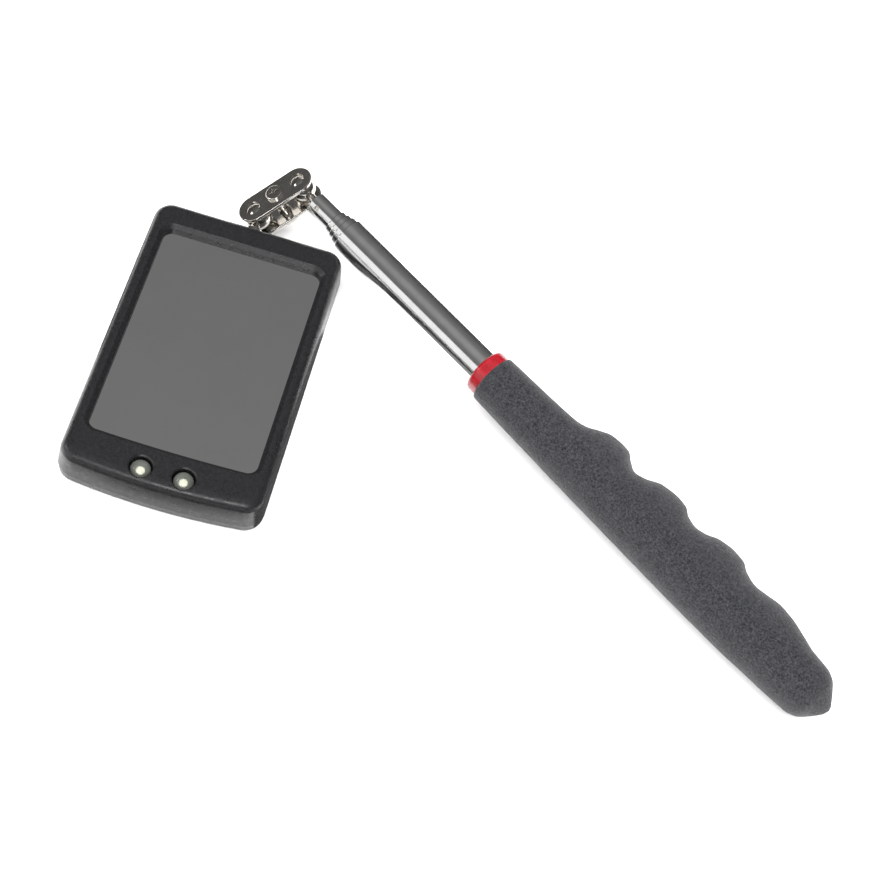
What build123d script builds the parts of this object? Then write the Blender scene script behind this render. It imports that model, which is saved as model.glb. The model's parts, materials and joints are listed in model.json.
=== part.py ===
from build123d import *
import math
import os

# Telescoping inspection mirror with two lamps: a lit rectangular mirror head on a clamped
# double-ball link, at the tip of a five-stage telescoping rod with a moulded foam grip.
# Millimetres. +Z is up and the head lies face up: the origin is the centre of its flat back.
# +X runs along the rod in plan, from the butt of the grip to the link, +Y is the head's side.

# ---- head ----
HEAD_WIDTH = 49.6
HEAD_LENGTH = 82.0
HEAD_THICKNESS = 10.5
HEAD_CORNER = 5.0
END_BULGE = 1.8
FACE_ROUND = 2.6
BACK_ROUND = 0.8
DRAFT = 5.0
PARTING_HEIGHT = 2.6
SEAM_CHAMFER = 0.22
SEAM_STEP = 0.1
WALL = 1.6
FACE_PLATE = 1.9
FLOOR = 1.6
HEAD_TURN = -146.8

WINDOW_WIDTH = 40.5
WINDOW_LENGTH = 62.7
WINDOW_CORNER = 2.5
WINDOW_BULGE = 0.5
WINDOW_SHIFT = 1.25
RIM_WIDTH = 1.1
RIM_DEPTH = 0.9
MIRROR_WIDTH = 42.0
MIRROR_LENGTH = 65.0
MIRROR_THICKNESS = 2.0
MIRROR_CORNER = 3.4
MIRROR_GAP = 0.15
MIRROR_RIB = 0.8
TAPE_THICKNESS = 0.8
TAPE_MARGIN = 1.5
POST_X = 14.0
POST_TOP_Y = 25.0
POST_LOW_Y = -14.0
POST_WIDTH = 1.2
POST_LENGTH = 7.0

TONGUE_GAP = 0.1
TONGUE_WIDTH = 0.7
TONGUE_RISE = 1.0

LED_RADIUS = 2.5
LED_FLANGE_RADIUS = 2.8
LED_FLANGE_HEIGHT = 1.0
LED_LENGTH = 8.6
LED_HOLE_RADIUS = 2.8
LED_HOLE_CHAMFER = 0.3
LED_SLEEVE_RADIUS = 3.5
LED_SPACING = 10.2
LED_Y = -36.4

BOARD_WIDTH = 30.0
BOARD_LOW_Y = -37.3
BOARD_HIGH_Y = -22.5
BOARD_THICKNESS = 0.8
BOARD_TOP = FLOOR + BOARD_THICKNESS

SCREW_X = 18.8
SCREW_TOP_Y = 36.0
SCREW_LOW_Y = -34.6
SCREW_RADIUS = 0.9
SCREW_HEAD_RADIUS = 1.7
SCREW_HEAD_HEIGHT = 1.1
SCREW_LENGTH = 6.1
PILOT_DEPTH = 5.2
SCREW_BOSS_RADIUS = 2.0
SCREW_SINK = 1.4
SCREW_SINK_RADIUS = 1.9
SCREW_CROSS = 1.9
SCREW_CROSS_WIDTH = 0.4
SCREW_CROSS_DEPTH = 0.6
PILOT_GAP = 0.02
CLEARANCE = 0.15

# ---- battery bay ----
CELL_RADIUS = 10.0
CELL_HEIGHT = 3.2
CELL_X = 10.6
BAY_Y = 4.0
BAY_WIDTH = 42.4
BAY_LENGTH = 21.4
BAY_CORNER = 3.0
BAY_WALL = 0.8
BAY_WALL_TOP = 4.4
DOOR_WIDTH = 45.0
DOOR_LENGTH = 24.0
DOOR_GAP = 0.15
DOOR_SINK = 0.9
DOOR_INSET = 0.1
DOOR_PLUG = 0.4
DOOR_TAB_WIDTH = 8.0
DOOR_TAB_END = 21.0
DOOR_SCREW_Y = 18.4
DOOR_SCREW_HEAD = 1.5
DOOR_SCREW_DEPTH = 2.7
DOOR_CROSS = 1.6
DOOR_CROSS_WIDTH = 0.35
DOOR_GROOVE_Y = -3.0
DOOR_GROOVE_WIDTH = 12.0
DOOR_GROOVE_LENGTH = 2.4
BRIDGE_THICKNESS = 0.2
BRIDGE_WIDTH = 32.0
BRIDGE_LENGTH = 7.0
CELL_ROUND = 0.4
CONTACT_THICKNESS = 0.3
CONTACT_WIDTH = 5.0

# ---- switch ----
SWITCH_Y = -26.4
SWITCH_WIDTH = 9.0
SWITCH_DEPTH = 4.2
SWITCH_HEIGHT = 3.6
SWITCH_LIFT = 0.15
SWITCH_TRAVEL = 2.5
POCKET_WIDTH = 14.0
POCKET_LENGTH = 7.4
POCKET_DEPTH = 0.9
KNOB_SIZE = 5.0
KNOB_BOTTOM = 0.3
KNOB_TOP = 0.8
KNOB_RIDGE_HEIGHT = 0.18
KNOB_RIDGE_WIDTH = 0.6
KNOB_RIDGE_PITCH = 1.3
STEM_SIZE = 2.2
STEM_DEPTH = 1.2
STEM_GAP = 0.2

# ---- ball studs and link ----
BALL_RADIUS = 3.5
STUD_REACH = 6.3
STUD_HEIGHT = 5.5
NECK_RADIUS = 1.25
BEARING_GAP = 0.05
BEARING_RADIUS = 3.0
BEARING_LENGTH = 2.5
STUD_COLLAR_RADIUS = 2.3
STUD_COLLAR_LENGTH = 1.2
CLIP_RADIUS = 2.4
CLIP_THICKNESS = 0.5
CLIP_OPENING = 1.5
CLIP_GROOVE_RADIUS = 0.9

LINK_PITCH = 13.2
LINK_AZIMUTH = -103.3
LINK_RISE = 26.55
LINK_ROLL = -12.8
PLATE_HALF_WIDTH = 3.95
PLATE_THICKNESS = 1.0
PLATE_HALF_GAP = 2.95
PLATE_EDGE = 0.3
PLATE_HOLE_RADIUS = 1.93
CLAMP_RADIUS = 1.25
CLAMP_HEAD_RADIUS = 2.25
CLAMP_HEAD_HEIGHT = 0.8
CLAMP_HEAD_ROUND = 0.35
CLAMP_CROSS = 2.5
CLAMP_CROSS_WIDTH = 0.55
CLAMP_CROSS_DEPTH = 0.65
CLAMP_GAP = 0.04
NUT_ACROSS_FLATS = 5.0
NUT_HEIGHT = 1.8
BURR_RADIUS = 1.75
BURR_HEIGHT = 1.5
BURR_TAPER = 8.0

# ---- rod, distances measured from the rod ball towards the butt ----
ROD_DROP = 1.36
STAGES = 5
OUTER_RADIUS = 4.8
RADIUS_STEP = 0.42
TUBE_WALL = 0.25
MOUTHS = [17.7, 16.0, 14.5, 12.9, 5.3]
OUTER_END = 177.3
FIRST_END = 173.3
END_STAGGER = 7.1
LIP_LENGTH = 0.8
LIP_GAP = 0.05
GROOVE_DEPTH = 0.2
GROOVE_LENGTH = 5.8
END_COLLAR = 1.0
SLEEVE_LENGTH = 5.5
SLEEVE_GAP = 0.03
SLEEVE_SLIT = 0.4
TIP_SHANK_START = 5.7
TIP_SHANK_END = 14.0
TIP_LIP_RADIUS = 2.2
PIN_RADIUS = 0.75
PIN_DISTANCE = 7.7
PIN_ANGLE = 141.0
PLUG_LENGTH = 2.5
PLUG_FLANGE = 1.0

# ---- collar and grip ----
COLLAR_START = 67.6
COLLAR_RADIUS = 6.0
COLLAR_ROUND = 1.0
SPIGOT_RADIUS = 5.5
SPIGOT_LENGTH = 11.0
GRIP_START = 71.0
FIT_GAP = 0.05

head_plane = Plane(
    origin=(0, 0, 0),
    x_dir=Vector(1, 0, 0).rotate(Axis.Z, HEAD_TURN),
    z_dir=(0, 0, 1),
)
stud_y = HEAD_LENGTH / 2 + STUD_REACH
head_ball = head_plane.from_local_coords(Vector(0, stud_y, STUD_HEIGHT))
stud_plane = Plane(origin=head_ball, x_dir=head_plane.x_dir, z_dir=-head_plane.y_dir)

link_direction = Vector(1, 0, 0).rotate(Axis.Y, -LINK_RISE).rotate(Axis.Z, LINK_AZIMUTH)
plate_normal = Vector(0, 0, 1).rotate(Axis.X, LINK_ROLL)
plate_normal = plate_normal.rotate(Axis.Y, -LINK_RISE).rotate(Axis.Z, LINK_AZIMUTH)
rod_ball = head_ball + link_direction * LINK_PITCH
link_plane = Plane(
    origin=head_ball + link_direction * (LINK_PITCH / 2),
    x_dir=link_direction,
    z_dir=plate_normal,
)

link_axis = Axis(link_plane.origin, link_plane.z_dir)

drop = math.radians(ROD_DROP)
rod_plane = Plane(
    origin=rod_ball,
    x_dir=(0, -1, 0),
    z_dir=(-math.cos(drop), 0, -math.sin(drop)),
)
# Half sections of the rod's turned pieces are drawn with x as radius and y as distance.
rod_section = Plane(origin=rod_ball, x_dir=rod_plane.x_dir, z_dir=-rod_plane.y_dir)
rod_axis = Axis(rod_ball, rod_plane.z_dir)
stud_section = Plane(origin=head_ball, x_dir=stud_plane.x_dir, z_dir=-stud_plane.y_dir)
stud_axis = Axis(head_ball, stud_plane.z_dir)

os.makedirs("parts", exist_ok=True)


def save(part, name):
    """Label a finished piece and write it as its own file."""
    part.label = name
    export_step(part, f"parts/{name}.step")


def outline(width, length, bulge, corner):
    """A closed rounded rectangle whose low end bows outwards by the bulge."""
    half = width / 2
    low = -length / 2
    with BuildSketch(Plane.XY) as shape:
        with BuildLine():
            Polyline(
                (half, low + bulge),
                (half, length / 2),
                (-half, length / 2),
                (-half, low + bulge),
            )
            ThreePointArc((-half, low + bulge), (0, low), (half, low + bulge))
        make_face()
        fillet(shape.vertices(), corner)
    return shape.sketch


def head_outline(inset=0.0):
    """The head's outline in plan, drawn in by the inset."""
    return outline(
        HEAD_WIDTH - 2 * inset,
        HEAD_LENGTH - 2 * inset,
        END_BULGE,
        HEAD_CORNER - inset,
    )


def window_outline(margin):
    """The window's outline in plan, grown by the margin."""
    return outline(
        WINDOW_WIDTH + 2 * margin,
        WINDOW_LENGTH + 2 * margin,
        WINDOW_BULGE,
        WINDOW_CORNER + margin,
    )


def screw_places():
    return Locations(
        (-SCREW_X, SCREW_TOP_Y),
        (SCREW_X, SCREW_TOP_Y),
        (-SCREW_X, SCREW_LOW_Y),
        (SCREW_X, SCREW_LOW_Y),
    )


def led_places():
    return Locations((-LED_SPACING / 2, LED_Y), (LED_SPACING / 2, LED_Y))


mirror_top = HEAD_THICKNESS - FACE_PLATE
mirror_bottom = mirror_top - MIRROR_THICKNESS

# ---- head: front bezel ----
with BuildPart() as front_bezel:
    with BuildSketch(head_plane.offset(PARTING_HEIGHT)):
        add(head_outline())
    extrude(amount=HEAD_THICKNESS - PARTING_HEIGHT, taper=DRAFT)
    fillet(front_bezel.faces().sort_by(Axis.Z)[-1].edges(), FACE_ROUND)
    chamfer(front_bezel.faces().sort_by(Axis.Z)[0].edges(), SEAM_CHAMFER)
    with BuildSketch(head_plane.offset(PARTING_HEIGHT)):
        add(head_outline(WALL))
    extrude(amount=mirror_top - PARTING_HEIGHT, mode=Mode.SUBTRACT)
    # ribs that hold the mirror's edge
    with BuildSketch(head_plane.offset(mirror_bottom)):
        with Locations((0, WINDOW_SHIFT)):
            RectangleRounded(
                MIRROR_WIDTH + 2 * (MIRROR_RIB + MIRROR_GAP),
                MIRROR_LENGTH + 2 * (MIRROR_RIB + MIRROR_GAP),
                MIRROR_CORNER + MIRROR_RIB,
            )
            RectangleRounded(
                MIRROR_WIDTH + 2 * MIRROR_GAP,
                MIRROR_LENGTH + 2 * MIRROR_GAP,
                MIRROR_CORNER,
                mode=Mode.SUBTRACT,
            )
    extrude(amount=MIRROR_THICKNESS)
    # screw bosses and lamp sleeves
    with BuildSketch(head_plane.offset(PARTING_HEIGHT)):
        with screw_places():
            Circle(SCREW_BOSS_RADIUS)
    extrude(amount=mirror_top - PARTING_HEIGHT)
    with BuildSketch(head_plane.offset(mirror_bottom)):
        with led_places():
            Circle(LED_SLEEVE_RADIUS)
    extrude(amount=MIRROR_THICKNESS)
    # bearing boss for the ball stud
    with BuildSketch(stud_plane.offset(STUD_REACH + WALL)):
        Circle(BEARING_RADIUS)
    extrude(amount=BEARING_LENGTH)
    with BuildSketch(stud_plane.offset(STUD_REACH - WALL)):
        Circle(NECK_RADIUS + BEARING_GAP)
    extrude(amount=3 * WALL + BEARING_LENGTH, mode=Mode.SUBTRACT)
    # window with its sloping rim
    with BuildSketch(head_plane.offset(mirror_top)):
        with Locations((0, WINDOW_SHIFT)):
            add(window_outline(0))
    extrude(amount=FACE_PLATE, mode=Mode.SUBTRACT)
    with BuildSketch(head_plane.offset(HEAD_THICKNESS - RIM_DEPTH)):
        with Locations((0, WINDOW_SHIFT)):
            add(window_outline(0))
    with BuildSketch(head_plane.offset(HEAD_THICKNESS)):
        with Locations((0, WINDOW_SHIFT)):
            add(window_outline(RIM_WIDTH))
    loft(mode=Mode.SUBTRACT)
    # lamp holes
    with BuildSketch(head_plane.offset(mirror_bottom)):
        with led_places():
            Circle(LED_HOLE_RADIUS)
    extrude(amount=HEAD_THICKNESS - mirror_bottom, mode=Mode.SUBTRACT)
    lamp_rims = front_bezel.edges().filter_by(GeomType.CIRCLE)
    lamp_rims = lamp_rims.filter_by(lambda e: abs(e.radius - LED_HOLE_RADIUS) < 0.01)
    chamfer(lamp_rims.group_by(Axis.Z)[-1], LED_HOLE_CHAMFER)
    # pilot holes
    with BuildSketch(head_plane.offset(PARTING_HEIGHT)):
        with screw_places():
            Circle(SCREW_RADIUS + PILOT_GAP)
    extrude(amount=PILOT_DEPTH, mode=Mode.SUBTRACT)
save(front_bezel.part, "front_bezel")

# ---- head: rear cover ----
back_inset = SEAM_STEP + PARTING_HEIGHT * math.tan(math.radians(DRAFT))
with BuildPart() as rear_cover:
    with BuildSketch(head_plane):
        add(head_outline(back_inset))
    extrude(amount=PARTING_HEIGHT, taper=-DRAFT)
    fillet(rear_cover.faces().sort_by(Axis.Z)[0].edges(), BACK_ROUND)
    # tongue that locates the bezel
    with BuildSketch(head_plane.offset(PARTING_HEIGHT)):
        add(head_outline(WALL + TONGUE_GAP))
    extrude(amount=TONGUE_RISE)
    with BuildSketch(head_plane.offset(FLOOR)):
        add(head_outline(WALL + TONGUE_GAP + TONGUE_WIDTH))
    extrude(amount=PARTING_HEIGHT + TONGUE_RISE - FLOOR, mode=Mode.SUBTRACT)
    with BuildSketch(head_plane.offset(PARTING_HEIGHT)):
        with Locations((0, LED_Y - LED_FLANGE_RADIUS)):
            Rectangle(LED_SPACING + 4 * LED_FLANGE_RADIUS, 4.0)
    extrude(amount=TONGUE_RISE, mode=Mode.SUBTRACT)
    with BuildSketch(head_plane.offset(FLOOR)):
        with led_places():
            Circle(LED_FLANGE_RADIUS + 0.1)
    extrude(amount=PARTING_HEIGHT - FLOOR, mode=Mode.SUBTRACT)
    # room for the stud's bearing boss
    with BuildSketch(head_plane.offset(FLOOR)):
        with Locations((0, HEAD_LENGTH / 2 - WALL - BEARING_LENGTH / 2)):
            Rectangle(2 * BEARING_RADIUS + 1.0, BEARING_LENGTH + 0.4)
    extrude(amount=PARTING_HEIGHT + TONGUE_RISE - FLOOR, mode=Mode.SUBTRACT)
    # housing screw seats
    with BuildSketch(head_plane.offset(FLOOR)):
        with screw_places():
            Circle(SCREW_BOSS_RADIUS)
    extrude(amount=PARTING_HEIGHT - FLOOR - 0.1)
    with BuildSketch(head_plane):
        with screw_places():
            Circle(SCREW_SINK_RADIUS)
    extrude(amount=SCREW_SINK, mode=Mode.SUBTRACT)
    with BuildSketch(head_plane):
        with screw_places():
            Circle(SCREW_RADIUS + CLEARANCE)
    extrude(amount=PARTING_HEIGHT, mode=Mode.SUBTRACT)
    # battery bay: walls, opening, door recess and door screw boss
    with BuildSketch(head_plane.offset(FLOOR)):
        with Locations((0, BAY_Y)):
            RectangleRounded(BAY_WIDTH + 2 * BAY_WALL, BAY_LENGTH + 2 * BAY_WALL, BAY_CORNER)
    extrude(amount=BAY_WALL_TOP - FLOOR)
    with BuildSketch(head_plane.offset(FLOOR)):
        with Locations((0, DOOR_SCREW_Y)):
            Circle(SCREW_BOSS_RADIUS)
    extrude(amount=BAY_WALL_TOP - FLOOR)
    with BuildSketch(head_plane):
        with Locations((0, BAY_Y)):
            RectangleRounded(BAY_WIDTH, BAY_LENGTH, BAY_CORNER - BAY_WALL)
    extrude(amount=BAY_WALL_TOP, mode=Mode.SUBTRACT)
    with BuildSketch(head_plane):
        with Locations((0, BAY_Y)):
            RectangleRounded(DOOR_WIDTH, DOOR_LENGTH, BAY_CORNER)
        with Locations((0, (DOOR_TAB_END + BAY_Y) / 2)):
            Rectangle(DOOR_TAB_WIDTH, DOOR_TAB_END - BAY_Y)
    extrude(amount=DOOR_SINK, mode=Mode.SUBTRACT)
    with BuildSketch(head_plane.offset(DOOR_SINK)):
        with Locations((0, DOOR_SCREW_Y)):
            Circle(SCREW_RADIUS + PILOT_GAP)
    extrude(amount=3.0, mode=Mode.SUBTRACT)
    # posts that back the mirror's tape
    with BuildSketch(head_plane.offset(FLOOR)):
        with Locations(
            (-POST_X, POST_TOP_Y),
            (POST_X, POST_TOP_Y),
            (-POST_X, POST_LOW_Y),
            (POST_X, POST_LOW_Y),
        ):
            Rectangle(POST_WIDTH, POST_LENGTH)
    extrude(amount=mirror_bottom - TAPE_THICKNESS - FLOOR)
    # dished pocket and slot for the switch knob
    with BuildSketch(head_plane):
        with Locations((0, SWITCH_Y)):
            RectangleRounded(POCKET_WIDTH, POCKET_LENGTH, 2.0)
    extrude(amount=POCKET_DEPTH, mode=Mode.SUBTRACT)
    with BuildSketch(head_plane):
        with Locations((0, SWITCH_Y)):
            Rectangle(
                STEM_SIZE + SWITCH_TRAVEL + 2 * STEM_GAP,
                STEM_SIZE + 2 * STEM_GAP,
            )
    extrude(amount=FLOOR, mode=Mode.SUBTRACT)
save(rear_cover.part, "rear_cover")

# ---- head: mirror and the double-sided foam tape behind it ----
with BuildPart() as mirror_glass:
    with BuildSketch(head_plane.offset(mirror_bottom)):
        with Locations((0, WINDOW_SHIFT)):
            RectangleRounded(MIRROR_WIDTH, MIRROR_LENGTH, MIRROR_CORNER)
    extrude(amount=MIRROR_THICKNESS)
save(mirror_glass.part, "mirror_glass")

with BuildPart() as mirror_tape:
    with BuildSketch(head_plane.offset(mirror_bottom - TAPE_THICKNESS)):
        with Locations((0, WINDOW_SHIFT)):
            RectangleRounded(
                MIRROR_WIDTH - 2 * TAPE_MARGIN,
                MIRROR_LENGTH - 2 * TAPE_MARGIN,
                MIRROR_CORNER,
            )
    extrude(amount=TAPE_THICKNESS)
save(mirror_tape.part, "mirror_tape")


def make_led(side, name):
    """A 5 mm lamp: flange with its flat, cylinder and dome, standing on the board."""
    straight = LED_LENGTH - LED_RADIUS
    centre = (side * LED_SPACING / 2, LED_Y)
    with BuildPart() as led:
        with BuildSketch(head_plane.offset(BOARD_TOP)):
            with Locations(centre):
                Circle(LED_FLANGE_RADIUS)
        extrude(amount=LED_FLANGE_HEIGHT)
        with BuildSketch(head_plane.offset(BOARD_TOP + LED_FLANGE_HEIGHT)):
            with Locations(centre):
                Circle(LED_RADIUS)
        extrude(amount=LED_LENGTH - LED_FLANGE_HEIGHT)
        top = led.faces().sort_by(Axis.Z)[-1]
        fillet(top.edges(), LED_RADIUS - 0.05)
        with BuildSketch(head_plane.offset(BOARD_TOP)):
            with Locations((centre[0], LED_Y - 1.5 * LED_FLANGE_RADIUS + 0.1)):
                Rectangle(4 * LED_RADIUS, LED_FLANGE_RADIUS - 0.4)
        extrude(amount=straight, mode=Mode.SUBTRACT)
    save(led.part, name)


make_led(-1, "led_left")
make_led(1, "led_right")

# ---- head: board, switch body and knob ----
with BuildPart() as led_board:
    with BuildSketch(head_plane.offset(FLOOR)):
        with Locations((0, (BOARD_LOW_Y + BOARD_HIGH_Y) / 2)):
            Rectangle(BOARD_WIDTH, BOARD_HIGH_Y - BOARD_LOW_Y)
        with Locations((0, SWITCH_Y)):
            Rectangle(SWITCH_WIDTH + 0.3, SWITCH_DEPTH + 0.3, mode=Mode.SUBTRACT)
    extrude(amount=BOARD_THICKNESS)
save(led_board.part, "led_board")

switch_bottom = FLOOR + SWITCH_LIFT
with BuildPart() as switch_body:
    with BuildSketch(head_plane.offset(switch_bottom)):
        with Locations((0, SWITCH_Y)):
            Rectangle(SWITCH_WIDTH, SWITCH_DEPTH)
    extrude(amount=SWITCH_HEIGHT)
    with BuildSketch(head_plane.offset(switch_bottom)):
        with Locations((0, SWITCH_Y)):
            Rectangle(
                STEM_SIZE + SWITCH_TRAVEL + 2 * STEM_GAP,
                STEM_SIZE + 2 * STEM_GAP,
            )
    extrude(amount=STEM_DEPTH + STEM_GAP, mode=Mode.SUBTRACT)
save(switch_body.part, "switch_body")

with BuildPart() as switch_knob:
    with BuildSketch(head_plane.offset(KNOB_BOTTOM)):
        with Locations((-SWITCH_TRAVEL / 2, SWITCH_Y)):
            RectangleRounded(KNOB_SIZE, KNOB_SIZE, 0.6)
    extrude(amount=KNOB_TOP - KNOB_BOTTOM)
    with BuildSketch(head_plane.offset(KNOB_BOTTOM - KNOB_RIDGE_HEIGHT)):
        with Locations((-SWITCH_TRAVEL / 2, SWITCH_Y)):
            with GridLocations(KNOB_RIDGE_PITCH, 0, 3, 1):
                Rectangle(KNOB_RIDGE_WIDTH, KNOB_SIZE - 2 * KNOB_RIDGE_WIDTH)
    extrude(amount=KNOB_RIDGE_HEIGHT)
    with BuildSketch(head_plane.offset(KNOB_TOP)):
        with Locations((-SWITCH_TRAVEL / 2, SWITCH_Y)):
            Rectangle(STEM_SIZE, STEM_SIZE)
    extrude(amount=switch_bottom + STEM_DEPTH - KNOB_TOP)
save(switch_knob.part, "switch_knob")

# ---- head: battery door, cells and their contacts ----
with BuildPart() as battery_door:
    with BuildSketch(head_plane.offset(DOOR_INSET)):
        with Locations((0, BAY_Y)):
            RectangleRounded(
                DOOR_WIDTH - 2 * DOOR_GAP,
                DOOR_LENGTH - 2 * DOOR_GAP,
                BAY_CORNER - DOOR_GAP,
            )
        with Locations((0, (DOOR_TAB_END - DOOR_GAP + BAY_Y) / 2)):
            Rectangle(DOOR_TAB_WIDTH - 2 * DOOR_GAP, DOOR_TAB_END - DOOR_GAP - BAY_Y)
    extrude(amount=DOOR_SINK - DOOR_INSET)
    with BuildSketch(head_plane.offset(DOOR_SINK)):
        with Locations((0, BAY_Y)):
            RectangleRounded(BAY_WIDTH - 0.4, BAY_LENGTH - 0.4, BAY_CORNER - BAY_WALL - 0.2)
    extrude(amount=DOOR_PLUG)
    with BuildSketch(head_plane.offset(DOOR_INSET)):
        with Locations((0, DOOR_SCREW_Y)):
            Circle(DOOR_SCREW_HEAD + 0.1)
    with BuildSketch(head_plane.offset(DOOR_SINK)):
        with Locations((0, DOOR_SCREW_Y)):
            Circle(SCREW_RADIUS + 0.1)
    loft(mode=Mode.SUBTRACT)
    # finger groove for lifting the door
    with BuildSketch(head_plane.offset(DOOR_INSET)):
        with Locations((0, DOOR_GROOVE_Y)):
            RectangleRounded(DOOR_GROOVE_WIDTH, DOOR_GROOVE_LENGTH, 1.1)
    extrude(amount=DOOR_PLUG, mode=Mode.SUBTRACT)
save(battery_door.part, "battery_door")

bridge_bottom = DOOR_SINK + DOOR_PLUG
cell_bottom = bridge_bottom + BRIDGE_THICKNESS
with BuildPart() as cell_bridge:
    with BuildSketch(head_plane.offset(bridge_bottom)):
        with Locations((0, BAY_Y)):
            RectangleRounded(BRIDGE_WIDTH, BRIDGE_LENGTH, 2.0)
    extrude(amount=BRIDGE_THICKNESS)
save(cell_bridge.part, "cell_bridge")


def make_cell(side, name):
    """A coin cell with rounded edges."""
    with BuildPart() as cell:
        with BuildSketch(head_plane.offset(cell_bottom)):
            with Locations((side * CELL_X, BAY_Y)):
                Circle(CELL_RADIUS)
        extrude(amount=CELL_HEIGHT)
        fillet(cell.edges(), CELL_ROUND)
    save(cell.part, name)


def make_contact(side, name):
    """A spring strip from the top of a cell down to the board."""
    top = cell_bottom + CELL_HEIGHT
    bend = BOARD_HIGH_Y + 1.0
    foot = BOARD_HIGH_Y - 2.0
    section = Plane(
        origin=head_plane.from_local_coords(Vector(side * CELL_X, 0, 0)),
        x_dir=head_plane.y_dir,
        z_dir=head_plane.x_dir,
    )
    with BuildPart() as contact:
        with BuildSketch(section):
            with BuildLine():
                Polyline(
                    (BAY_Y + 5.0, top),
                    (BAY_Y + 5.0, top + CONTACT_THICKNESS),
                    (bend, top + CONTACT_THICKNESS),
                    (bend, BOARD_TOP + CONTACT_THICKNESS),
                    (foot, BOARD_TOP + CONTACT_THICKNESS),
                    (foot, BOARD_TOP),
                    (bend + CONTACT_THICKNESS, BOARD_TOP),
                    (bend + CONTACT_THICKNESS, top),
                    close=True,
                )
            make_face()
        extrude(amount=CONTACT_WIDTH / 2, both=True)
    save(contact.part, name)


make_cell(-1, "cell_left")
make_cell(1, "cell_right")
make_contact(-1, "contact_left")
make_contact(1, "contact_right")

# ---- head: screws ----
head_base = SCREW_SINK - SCREW_HEAD_HEIGHT
with BuildPart() as housing_screws:
    with BuildSketch(head_plane.offset(head_base)):
        with screw_places():
            Circle(SCREW_HEAD_RADIUS)
    extrude(amount=SCREW_HEAD_HEIGHT)
    fillet(housing_screws.faces().group_by(Axis.Z)[0].edges(), 0.4)
    with BuildSketch(head_plane.offset(SCREW_SINK)):
        with screw_places():
            Circle(SCREW_RADIUS)
    extrude(amount=SCREW_LENGTH)
    with BuildSketch(head_plane.offset(head_base)):
        with screw_places():
            Rectangle(SCREW_CROSS, SCREW_CROSS_WIDTH)
            Rectangle(SCREW_CROSS_WIDTH, SCREW_CROSS)
    extrude(amount=SCREW_CROSS_DEPTH, mode=Mode.SUBTRACT)
save(housing_screws.part, "housing_screws")

door_screw_bottom = DOOR_INSET + 0.05
with BuildPart() as door_screw:
    with BuildSketch(head_plane.offset(door_screw_bottom)):
        with Locations((0, DOOR_SCREW_Y)):
            Circle(DOOR_SCREW_HEAD)
    with BuildSketch(head_plane.offset(DOOR_SINK)):
        with Locations((0, DOOR_SCREW_Y)):
            Circle(SCREW_RADIUS)
    loft()
    with BuildSketch(head_plane.offset(DOOR_SINK)):
        with Locations((0, DOOR_SCREW_Y)):
            Circle(SCREW_RADIUS)
    extrude(amount=DOOR_SCREW_DEPTH)
    with BuildSketch(head_plane.offset(door_screw_bottom)):
        with Locations((0, DOOR_SCREW_Y)):
            Rectangle(DOOR_CROSS, DOOR_CROSS_WIDTH)
            Rectangle(DOOR_CROSS_WIDTH, DOOR_CROSS)
    extrude(amount=0.4, mode=Mode.SUBTRACT)
save(door_screw.part, "door_screw")

# ---- head: ball stud and its clip ----
collar_end = STUD_REACH - 0.1
boss_end = STUD_REACH + WALL + BEARING_LENGTH
groove_start = boss_end + 0.1
stud_end = groove_start + CLIP_THICKNESS + 0.9
with BuildPart() as head_ball_stud:
    with BuildSketch(stud_section):
        with BuildLine():
            # sphere down to the neck, collar against the housing, clip groove, end
            neck_start = math.sqrt(BALL_RADIUS**2 - NECK_RADIUS**2)
            ThreePointArc((0, -BALL_RADIUS), (BALL_RADIUS, 0), (NECK_RADIUS, neck_start))
            Polyline(
                (NECK_RADIUS, neck_start),
                (NECK_RADIUS, collar_end - STUD_COLLAR_LENGTH),
                (STUD_COLLAR_RADIUS, collar_end - STUD_COLLAR_LENGTH),
                (STUD_COLLAR_RADIUS, collar_end),
                (NECK_RADIUS, collar_end),
                (NECK_RADIUS, groove_start),
                (CLIP_GROOVE_RADIUS, groove_start),
                (CLIP_GROOVE_RADIUS, groove_start + CLIP_THICKNESS + 0.1),
                (NECK_RADIUS, groove_start + CLIP_THICKNESS + 0.1),
                (NECK_RADIUS, stud_end),
                (0, stud_end),
                (0, -BALL_RADIUS),
            )
        make_face()
    revolve(axis=stud_axis)
save(head_ball_stud.part, "head_ball_stud")

with BuildPart() as stud_clip:
    with BuildSketch(stud_plane.offset(groove_start + 0.05)):
        Circle(CLIP_RADIUS)
        Circle(CLIP_GROOVE_RADIUS + 0.03, mode=Mode.SUBTRACT)
        with Locations((0, -CLIP_RADIUS)):
            Rectangle(CLIP_OPENING, 2 * CLIP_RADIUS, mode=Mode.SUBTRACT)
    extrude(amount=CLIP_THICKNESS)
save(stud_clip.part, "stud_clip")

# ---- link: two plates clamped over both balls ----
plate_outer = PLATE_HALF_GAP + PLATE_THICKNESS


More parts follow.
